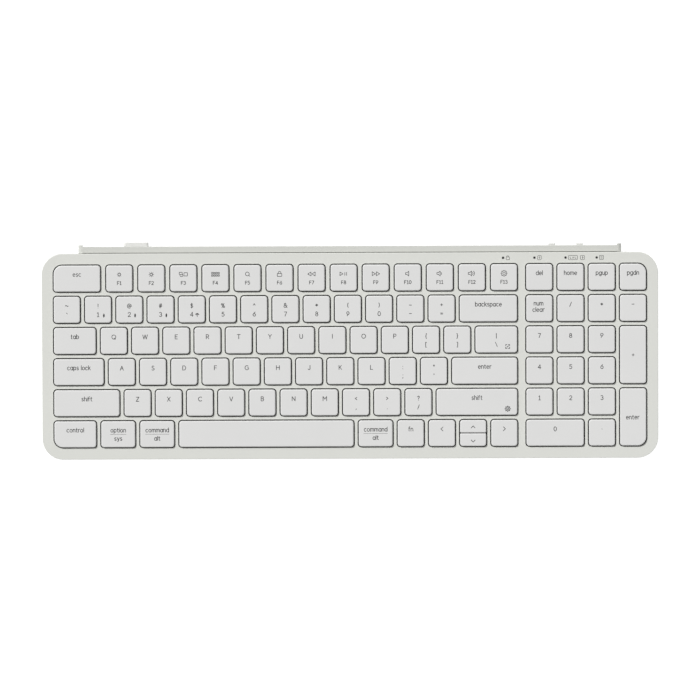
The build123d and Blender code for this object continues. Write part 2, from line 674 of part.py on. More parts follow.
def make_rear_bar():
    shell = make_bar_shell()
    posts, screws = bar_posts()
    bodies = []
    head_bottom = BAR_BOTTOM + BAR_WALL + FIT
    for column, (u, y, top) in zip(posts, screws):
        shell = shell + column
        shell = shell - Pos(u, y, 0) * Cylinder(SCREW_RADIUS + FIT, 4 * BAR_TOP)
        counterbore = head_bottom + BAR_SCREW_HEAD_HEIGHT + FIT
        shell = shell - Pos(u, y, counterbore / 2) * Cylinder(SCREW_HEAD_RADIUS + 2 * FIT, counterbore)
        screw_end = underside_height(y, -SLAB_THICKNESS + COVER_THICKNESS) - 2 * FIT
        length = screw_end - head_bottom - BAR_SCREW_HEAD_HEIGHT
        bodies.append(Pos(u, y, head_bottom) * screw(length, BAR_SCREW_HEAD_HEIGHT))
    save("rear_bar_shell", [shell])
    return bodies


def tunnel(width, height, wall, length):
    """A square sleeve along Y that guides the stored receiver's plug."""
    return Box(width + 2 * wall, length, height + 2 * wall) - Box(width, length + 2 * THROUGH, height)


def make_port_panel():
    face = panel_face - FIT
    length = BAR_LENGTH - 2 * BAR_LIP_WIDTH - 2 * FIT
    height = PANEL_TOP - PANEL_BOTTOM - 2 * FIT
    middle = (PANEL_TOP + PANEL_BOTTOM) / 2
    panel = Pos(0, face - PANEL_THICKNESS / 2, middle) * Box(length, PANEL_THICKNESS, height)
    inner_width = PLUG_WIDTH + 2 * PLUG_CLEARANCE
    inner_height = PLUG_HEIGHT + 2 * PLUG_CLEARANCE
    sleeve = tunnel(inner_width, inner_height, SLEEVE_WALL, SLEEVE_LENGTH)
    sleeve_y = face - PANEL_THICKNESS - SLEEVE_LENGTH / 2 + MERGE
    panel = panel + Pos(RECEIVER_X, sleeve_y, PORT_HEIGHT) * sleeve
    cut = 2 * (PANEL_THICKNESS + THROUGH)
    panel = panel - Pos(RECEIVER_X, face, PORT_HEIGHT) * Box(inner_width, cut, inner_height)
    socket_hole = SlotOverall(SOCKET_WIDTH + 2 * PORT_GAP, SOCKET_HEIGHT + 2 * PORT_GAP)
    panel = panel - Pos(SOCKET_X, face, PORT_HEIGHT) * extrude(Plane.XZ * socket_hole, cut / 2, both=True)
    slot_width = KNOB_WIDTH + 2 * SWITCH_TRAVEL + 2 * KNOB_GAP
    for x in (MODE_SWITCH_X, SYSTEM_SWITCH_X):
        panel = panel - Pos(x, face, PORT_HEIGHT) * Box(slot_width, cut, KNOB_HEIGHT + 2 * KNOB_GAP)
    save("rear_port_panel", [panel])


def make_receiver():
    """The stored wireless receiver: a moulded grip and a metal plug, which pull out together."""
    grip_front = panel_face + REST_GAP
    grip_depth = RECEIVER_PROUD - REST_GAP
    grip_middle = grip_front + grip_depth / 2
    outline = RectangleRounded(RECEIVER_WIDTH, RECEIVER_HEIGHT, GRIP_CORNER)
    grip = Pos(RECEIVER_X, grip_middle, PORT_HEIGHT) * extrude(Plane.XZ * outline, grip_depth / 2, both=True)
    rear_edges = grip.faces().sort_by(Axis.Y)[-1].edges()
    grip = fillet(rear_edges, GRIP_EDGE_ROUND)
    plug_end = grip_front + PLUG_POCKET
    pocket = Box(PLUG_WIDTH, 2 * PLUG_POCKET, PLUG_HEIGHT)
    grip = grip - Pos(RECEIVER_X, grip_front, PORT_HEIGHT) * pocket
    plug = Box(PLUG_WIDTH, PLUG_LENGTH, PLUG_HEIGHT)
    mouth = Box(PLUG_WIDTH - 2 * PLUG_WALL, PLUG_LENGTH, PLUG_HEIGHT - 2 * PLUG_WALL)
    tongue = Box(PLUG_WIDTH - 2 * TONGUE_SIDE_GAP, PLUG_LENGTH - PLUG_END_WALL, TONGUE_THICKNESS)
    plug = plug - Pos(0, -PLUG_END_WALL, 0) * mouth + Pos(0, 0, -TONGUE_DROP) * tongue
    plug = Pos(RECEIVER_X, plug_end - PLUG_LENGTH / 2, PORT_HEIGHT) * plug
    save("receiver_grip", [grip])
    save("receiver_plug", [plug])


def make_electronics():
    """Board, its components, socket, slide switches and battery inside the bar."""
    inner_face = panel_face - FIT - PANEL_THICKNESS
    board_y = inner_face - BOARD_GAP - BOARD_DEPTH / 2
    board_top = PORT_HEIGHT - SOCKET_HEIGHT / 2 - FIT
    board_middle = board_top - BOARD_THICKNESS / 2
    board = Pos(BOARD_X, board_y, board_middle) * Box(BOARD_WIDTH, BOARD_DEPTH, BOARD_THICKNESS)
    save("main_circuit_board", [board])

    socket_outline = SlotOverall(SOCKET_WIDTH, SOCKET_HEIGHT)
    socket = extrude(Plane.XZ * socket_outline, SOCKET_LENGTH / 2, both=True)
    bore_outline = SlotOverall(SOCKET_WIDTH - 2 * SOCKET_WALL, SOCKET_HEIGHT - 2 * SOCKET_WALL)
    bore = extrude(Plane.XZ * bore_outline, SOCKET_LENGTH / 2, both=True)
    socket = socket - Pos(0, SOCKET_BACK, 0) * bore
    tongue = Box(SOCKET_TONGUE_WIDTH, SOCKET_TONGUE_LENGTH, SOCKET_TONGUE_THICKNESS)
    socket = socket + Pos(0, (SOCKET_TONGUE_LENGTH - SOCKET_LENGTH) / 2 + MERGE, 0) * tongue
    socket_y = panel_face - FIT - SOCKET_LENGTH / 2
    save("usb_c_socket", [Pos(SOCKET_X, socket_y, PORT_HEIGHT) * socket])

    switches = []
    for x in (MODE_SWITCH_X, SYSTEM_SWITCH_X):
        slot = Box(HOUSING_SLOT_WIDTH, 2 * HOUSING_SLOT_DEPTH, HOUSING_SLOT_HEIGHT)
        housing = Box(HOUSING_WIDTH, HOUSING_DEPTH, HOUSING_HEIGHT) - Pos(0, HOUSING_DEPTH / 2, 0) * slot
        housing_y = inner_face - HOUSING_GAP - HOUSING_DEPTH / 2
        switches.append(Pos(x, housing_y, PORT_HEIGHT) * housing)
    save("slide_switch_bodies", switches)

    chips = []
    for x, y, width, depth, height in CHIPS:
        middle_height = board_top + REST_GAP + height / 2
        chips.append(Pos(BOARD_X + x, board_y + y, middle_height) * Box(width, depth, height))
    save("board_components", chips)

    cell_y = panel_face - BAR_DEPTH + CELL_SETBACK + CELL_DEPTH / 2
    cell_z = BAR_BOTTOM + BAR_WALL + FIT + CELL_HEIGHT / 2
    cell_outline = RectangleRounded(CELL_DEPTH, CELL_HEIGHT, CELL_EDGE_ROUND)
    cells = []
    for x in CELLS_X:
        cell = extrude(Plane.YZ * cell_outline, CELL_LENGTH / 2, both=True)
        cells.append(Pos(x, cell_y, cell_z) * cell)
    save("battery_pack", cells)


def knob(x):
    """A slide-switch knob: an outer pad with grip grooves and a stem into the switch."""
    pad = Box(KNOB_WIDTH, PANEL_THICKNESS + KNOB_PROUD, KNOB_HEIGHT)
    pad = fillet(pad.edges().filter_by(Axis.Y), KNOB_CORNER)
    pad = Pos(0, (KNOB_PROUD - PANEL_THICKNESS) / 2, 0) * pad
    groove = Box(KNOB_GROOVE_WIDTH, 2 * KNOB_GROOVE_DEPTH, KNOB_HEIGHT + THROUGH)
    for number in (-1, 0, 1):
        pad = pad - Pos(number * KNOB_GROOVE_PITCH, KNOB_PROUD, 0) * groove
    stem = Box(STEM_WIDTH, STEM_LENGTH + MERGE, STEM_HEIGHT)
    stem_y = -PANEL_THICKNESS - (STEM_LENGTH - MERGE) / 2
    return Pos(x, panel_face, PORT_HEIGHT) * (pad + Pos(0, stem_y, 0) * stem)


def make_knobs():
    save("mode_switch_knob", [knob(MODE_SWITCH_X)])
    save("system_switch_knob", [knob(SYSTEM_SWITCH_X - SWITCH_TRAVEL / 2)])


def make_feet():
    """Two wide pads under the front edge and two under the bar, all flat on the table."""
    feet = []
    front_y = slab_y - half_depth * math.cos(slope) + FRONT_FOOT_INSET
    front_outline = RectangleRounded(FRONT_FOOT_WIDTH, FRONT_FOOT_DEPTH, FRONT_FOOT_DEPTH / 2 - FIT)
    below_slab = slab_block(CASE_WIDTH, CASE_DEPTH, -2 * CASE_DEPTH, -SLAB_THICKNESS - REST_GAP)
    for side in (-1, 1):
        pad = Pos(side * FRONT_FOOT_X, front_y, 0) * extrude(front_outline, SLAB_THICKNESS)
        feet.append(pad & (slab_place * below_slab))
    rear_outline = RectangleRounded(REAR_FOOT_WIDTH, REAR_FOOT_DEPTH, REAR_FOOT_DEPTH / 2 - FIT)
    for side in (-1, 1):
        pad = extrude(rear_outline, BAR_BOTTOM - REST_GAP)
        feet.append(Pos(side * REAR_FOOT_X, panel_face - REAR_FOOT_INSET, 0) * pad)
    save("rubber_feet", feet)


def main():
    os.makedirs("parts", exist_ok=True)
    keys = all_keys()
    set_large_corners(keys)
    arrow_u = block_left + (BLOCK_UNITS - 1.5) * KEY_PITCH
    make_top_case(keys, arrow_u)
    make_sheets()
    make_bottom_cover()
    make_indicators()
    make_keycaps(keys, arrow_u)
    make_mechanisms(keys, arrow_u)
    make_stabilisers(keys)
    bar_screws = make_rear_bar()
    make_screws(bar_screws)
    make_port_panel()
    make_receiver()
    make_electronics()
    make_knobs()
    make_feet()


main()
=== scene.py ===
import json
import math

import bmesh
import bpy
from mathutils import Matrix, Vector


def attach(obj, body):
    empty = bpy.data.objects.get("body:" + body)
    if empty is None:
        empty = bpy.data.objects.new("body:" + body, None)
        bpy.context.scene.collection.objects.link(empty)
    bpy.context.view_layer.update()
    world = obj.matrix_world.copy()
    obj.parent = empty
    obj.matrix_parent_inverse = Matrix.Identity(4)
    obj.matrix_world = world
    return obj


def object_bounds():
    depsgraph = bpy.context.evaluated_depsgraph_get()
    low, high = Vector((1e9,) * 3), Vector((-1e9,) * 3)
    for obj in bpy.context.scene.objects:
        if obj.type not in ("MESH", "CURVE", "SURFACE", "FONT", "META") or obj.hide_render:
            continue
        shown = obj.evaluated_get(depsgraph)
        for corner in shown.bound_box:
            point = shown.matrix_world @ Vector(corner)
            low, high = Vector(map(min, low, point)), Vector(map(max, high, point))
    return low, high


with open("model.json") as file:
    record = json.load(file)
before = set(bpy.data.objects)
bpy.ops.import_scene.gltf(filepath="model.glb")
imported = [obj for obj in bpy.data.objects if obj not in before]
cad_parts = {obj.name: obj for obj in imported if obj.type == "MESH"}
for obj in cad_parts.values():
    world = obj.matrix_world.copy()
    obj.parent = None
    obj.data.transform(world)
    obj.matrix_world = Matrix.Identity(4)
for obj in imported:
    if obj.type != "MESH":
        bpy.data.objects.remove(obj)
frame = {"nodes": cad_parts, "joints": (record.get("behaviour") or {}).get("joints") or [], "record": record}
cad_low, cad_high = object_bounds()

# The looks of a slim keyboard. The key surface is a slope: along runs up it to the rear, normal stands on it.
# Sizes of the printing are in millimetres; everything else is in metres.
MM = 0.001
press_joint = next(joint for joint in frame["joints"] if joint["name"].startswith("press_"))
normal = -Vector(press_joint["axis"])
along = Vector((0.0, normal.z, -normal.y))

INK_HEIGHT = 0.012          # printing above the keycap
INK_DEPTH = 0.03            # printing below the keycap's surface
LETTER_HEIGHT = 2.55        # capital letters and digits
WORD_HEIGHT = 2.5           # capital height of the small words
FUNCTION_HEIGHT = 2.0       # capital height of F1 to F13
PEN = 0.37                  # stroke width of the printing
FUNCTION_PEN = 0.33         # stroke width in the function row
SIGN_PEN = 0.24             # stroke width of the signs beside the indicators
RULE_PEN = 0.16             # stroke width of the rule between two stacked words
SIGN_SIZE = 1.15            # by how much those signs are larger than they are drawn
UPPER_LINE = 2.4            # middle of the upper legend above the middle of a key
LOWER_LINE = -2.9           # middle of the lower legend


# ---------------------------------------------------------------- materials
NOISE_LOW = 0.3             # nearly all of a noise's values lie between these two
NOISE_HIGH = 0.7
NOISE_ROUGHNESS = 0.55      # share of the finer waves in a noise
GRAIN_DEPTH = 0.00002       # depth of the surface grain, m
ROUGHNESS_SPREAD = 0.06     # how far a moulded surface's roughness strays
SPECULAR = 0.28             # reflection of moulded surfaces and printing
FIBRE_SCALE = 900.0         # waves per metre along the grain of metal; the stretch multiplies it across
TRACK_SCALE = 260.0         # size of the board's pattern of tracks
TRACK_HEIGHT = 0.00003      # how far the tracks stand out, m


def new_material(name):
    made = bpy.data.materials.new(name)
    made.use_nodes = True
    tree = made.node_tree
    return made, tree, tree.nodes["Principled BSDF"]


def noise(tree, scale, detail=3.0):
    """Noise in the piece's own coordinates, so it stays with the surface."""
    place = tree.nodes.new("ShaderNodeTexCoord")
    texture = tree.nodes.new("ShaderNodeTexNoise")
    texture.inputs["Scale"].default_value = scale
    texture.inputs["Detail"].default_value = detail
    texture.inputs["Roughness"].default_value = NOISE_ROUGHNESS
    tree.links.new(place.outputs["Object"], texture.inputs["Vector"])
    return texture.outputs["Fac"]


def spread(tree, source, low, high):
    """Map a noise value to a range."""
    node = tree.nodes.new("ShaderNodeMapRange")
    node.inputs["From Min"].default_value = NOISE_LOW
    node.inputs["From Max"].default_value = NOISE_HIGH
    node.inputs["To Min"].default_value = low
    node.inputs["To Max"].default_value = high
    tree.links.new(source, node.inputs["Value"])
    return node.outputs["Result"]


def tinted(tree, source, dark, light):
    """Map a noise value to a colour."""
    ramp = tree.nodes.new("ShaderNodeValToRGB")
    ends = ((NOISE_LOW, dark), (NOISE_HIGH, light))
    for element, (position, colour) in zip(ramp.color_ramp.elements, ends):
        element.position = position
        element.color = (*colour, 1.0)
    tree.links.new(source, ramp.inputs["Fac"])
    return ramp.outputs["Color"]


def bump(tree, source, strength, distance):
    node = tree.nodes.new("ShaderNodeBump")
    node.inputs["Strength"].default_value = strength
    node.inputs["Distance"].default_value = distance
    tree.links.new(source, node.inputs["Height"])
    return node.outputs["Normal"]


def shade(colour, factor):
    return tuple(channel * factor for channel in colour)


def moulded(name, colour, rough, variation, grain=9000.0, relief=0.25, cloud=25.0):
    """A moulded surface: large faint clouds of colour, fine grain in relief, uneven roughness."""
    made, tree, shader = new_material(name)
    clouds = noise(tree, cloud, 4.0)
    colours = tinted(tree, clouds, shade(colour, 1 - variation), shade(colour, 1 + variation))
    tree.links.new(colours, shader.inputs["Base Color"])
    fine = noise(tree, grain, 2.0)
    uneven = spread(tree, fine, rough - ROUGHNESS_SPREAD, rough + ROUGHNESS_SPREAD)
    tree.links.new(uneven, shader.inputs["Roughness"])
    tree.links.new(bump(tree, fine, relief, GRAIN_DEPTH), shader.inputs["Normal"])
    shader.inputs["Specular IOR Level"].default_value = SPECULAR
    return made


def brushed(name, colour, rough, stretch):
    """Rolled or drawn metal: grain drawn out along the axis whose stretch is least."""
    made, tree, shader = new_material(name)
    place = tree.nodes.new("ShaderNodeTexCoord")
    mapping = tree.nodes.new("ShaderNodeMapping")
    mapping.inputs["Scale"].default_value = stretch
    texture = tree.nodes.new("ShaderNodeTexNoise")
    texture.inputs["Scale"].default_value = FIBRE_SCALE
    texture.inputs["Detail"].default_value = 4.0
    tree.links.new(place.outputs["Object"], mapping.inputs["Vector"])
    tree.links.new(mapping.outputs["Vector"], texture.inputs["Vector"])
    fibres = texture.outputs["Fac"]
    tree.links.new(tinted(tree, fibres, shade(colour, 0.85), colour), shader.inputs["Base Color"])
    tree.links.new(spread(tree, fibres, rough - 0.08, rough + 0.1), shader.inputs["Roughness"])
    tree.links.new(bump(tree, fibres, 0.3, GRAIN_DEPTH), shader.inputs["Normal"])
    shader.inputs["Metallic"].default_value = 1.0
    return made


def board_material(name):
    """Solder mask with fine tracks that show as slightly lighter lines in relief."""
    made, tree, shader = new_material(name)
    place = tree.nodes.new("ShaderNodeTexCoord")
    bricks = tree.nodes.new("ShaderNodeTexBrick")
    bricks.inputs["Scale"].default_value = TRACK_SCALE
    bricks.inputs["Color1"].default_value = (0.012, 0.085, 0.045, 1)
    bricks.inputs["Color2"].default_value = (0.016, 0.1, 0.055, 1)
    bricks.inputs["Mortar"].default_value = (0.03, 0.17, 0.09, 1)
    bricks.inputs["Mortar Size"].default_value = 0.03
    tree.links.new(place.outputs["Object"], bricks.inputs["Vector"])
    tree.links.new(bricks.outputs["Color"], shader.inputs["Base Color"])
    tree.links.new(bump(tree, bricks.outputs["Fac"], 0.3, TRACK_HEIGHT), shader.inputs["Normal"])
    tree.links.new(spread(tree, noise(tree, 300.0), 0.3, 0.42), shader.inputs["Roughness"])
    return made


CASE_COLOUR = (0.687, 0.693, 0.655)
CAP_COLOUR = (0.712, 0.711, 0.704)
BAR_COLOUR = (0.582, 0.588, 0.555)


def make_materials():
    """The material of every slot, and the two inks."""
    return {
        "case_plastic": moulded("case_plastic", CASE_COLOUR, 0.52, 0.012),
        "cover_plastic": moulded("cover_plastic", shade(CASE_COLOUR, 0.95), 0.6, 0.02, relief=0.4),
        "bar_plastic": moulded("bar_plastic", BAR_COLOUR, 0.52, 0.012),
        "panel_plastic": moulded("panel_plastic", shade(BAR_COLOUR, 0.82), 0.5, 0.012),
        "keycap_plastic": moulded("keycap_plastic", CAP_COLOUR, 0.5, 0.01, grain=12000.0, cloud=40.0),
        "receiver_plastic": moulded("receiver_plastic", (0.71, 0.71, 0.69), 0.45, 0.01),
        "knob_plastic": moulded("knob_plastic", (0.66, 0.66, 0.64), 0.45, 0.01),
        "lens_plastic": moulded("lens_plastic", (0.035, 0.035, 0.036), 0.22, 0.05, relief=0.05),
        "foot_rubber": moulded("foot_rubber", (0.045, 0.045, 0.046), 0.8, 0.15, grain=5000.0, relief=0.6),
        "dome_silicone": moulded("dome_silicone", (0.62, 0.62, 0.6), 0.45, 0.03),
        "link_plastic": moulded("link_plastic", (0.68, 0.68, 0.65), 0.4, 0.02),
        # the membrane is a real film; its near-black colour is also painted shade that darkens the narrow
        # gaps between the keycaps
        "membrane_film": moulded("membrane_film", (0.07, 0.072, 0.07), 0.35, 0.1, relief=0.1),
        "component_black": moulded("component_black", (0.02, 0.02, 0.021), 0.5, 0.1),
        "battery_wrap": moulded("battery_wrap", (0.12, 0.13, 0.15), 0.38, 0.06, grain=2500.0),
        "ink": moulded("ink", (0.02, 0.02, 0.021), 0.55, 0.08, relief=0.1),
        "soft_ink": moulded("soft_ink", (0.035, 0.035, 0.036), 0.55, 0.08, relief=0.1),
        "plate_steel": brushed("plate_steel", (0.42, 0.42, 0.42), 0.42, (1, 12, 12)),
        "wire_steel": brushed("wire_steel", (0.6, 0.6, 0.6), 0.25, (1, 8, 8)),
        "socket_steel": brushed("socket_steel", (0.62, 0.62, 0.63), 0.28, (8, 1, 8)),
        "switch_metal": brushed("switch_metal", (0.52, 0.52, 0.53), 0.35, (1, 8, 8)),
        "plug_steel": brushed("plug_steel", (0.64, 0.64, 0.65), 0.25, (8, 1, 8)),
        "screw_steel": brushed("screw_steel", (0.35, 0.35, 0.36), 0.35, (6, 6, 1)),
        "circuit_board": board_material("circuit_board"),
    }


def paint_cad_nodes(materials):
    slots = {entry["node"]: entry["material_slot"] for entry in frame["record"]["subparts"]}
    for name, piece in frame["nodes"].items():
        piece.data.materials.clear()
        piece.data.materials.append(materials[slots[name]])


# ---------------------------------------------------------------- where the keycaps are
class Cap:
    """One keycap's top: its middle across and along the slope, and its height off the slope."""

    def __init__(self, left, right, front, rear, height):
        self.x = (left + right) / 2
        self.t = (front + rear) / 2
        self.height = height


JOINED_WITHIN = 0.0002      # stretches closer together than this belong to one keycap, m
LEEWAY = 0.00001            # for points on the edge of a stretch, m


def caps_of(node):
    """A node's separate keycaps or lenses from left to right, from the stretches that its faces cover."""
    mesh = frame["nodes"][node].data
    points = [(v.co.x, v.co.dot(along), v.co.dot(normal)) for v in mesh.vertices]
    spans = []
    for face in mesh.polygons:
        xs = [points[i][0] for i in face.vertices]
        spans.append((min(xs), max(xs)))
    spans.sort()
    merged = [list(spans[0])]
    for low, high in spans[1:]:
        if low <= merged[-1][1] + JOINED_WITHIN:
            merged[-1][1] = max(merged[-1][1], high)
        else:
            merged.append([low, high])
    caps = []
    for low, high in merged:
        inside = [p for p in points if low - LEEWAY <= p[0] <= high + LEEWAY]
        along_values = [p[1] for p in inside]
        caps.append(Cap(low, high, min(along_values), max(along_values), max(p[2] for p in inside)))
    return caps


# ---------------------------------------------------------------- a single-stroke alphabet
# A glyph is its width and its strokes in units of the capital height, with y = 0 on the baseline.
ARC_STEP = 20               # about so many degrees lie between two points of an arc
ARC_STEPS = 4               # but at least this many steps


def arc(cx, cy, rx, ry, start, end):
    """Points along an ellipse from one angle to another, in degrees."""
    steps = max(ARC_STEPS, int(abs(end - start) / ARC_STEP))
    points = []
    for index in range(steps + 1):
        angle = math.radians(start + (end - start) * index / steps)
        points.append((cx + rx * math.cos(angle), cy + ry * math.sin(angle)))
    return points


def ring(cx, cy, rx, ry):
    """A whole ellipse that starts and ends at its top."""
    return arc(cx, cy, rx, ry, 90, 450)


def box_line(left, low, right, high, r):
    """A closed rectangle with round corners."""
    return (arc(right - r, low + r, r, r, 270, 360) + arc(right - r, high - r, r, r, 0, 90)
            + arc(left + r, high - r, r, r, 90, 180) + arc(left + r, low + r, r, r, 180, 270)
            + [(right - r, low)])


def dot(x, y):
    """A stroke so short that the pen leaves a dot."""
    return [(x, y), (x, y + 0.02)]


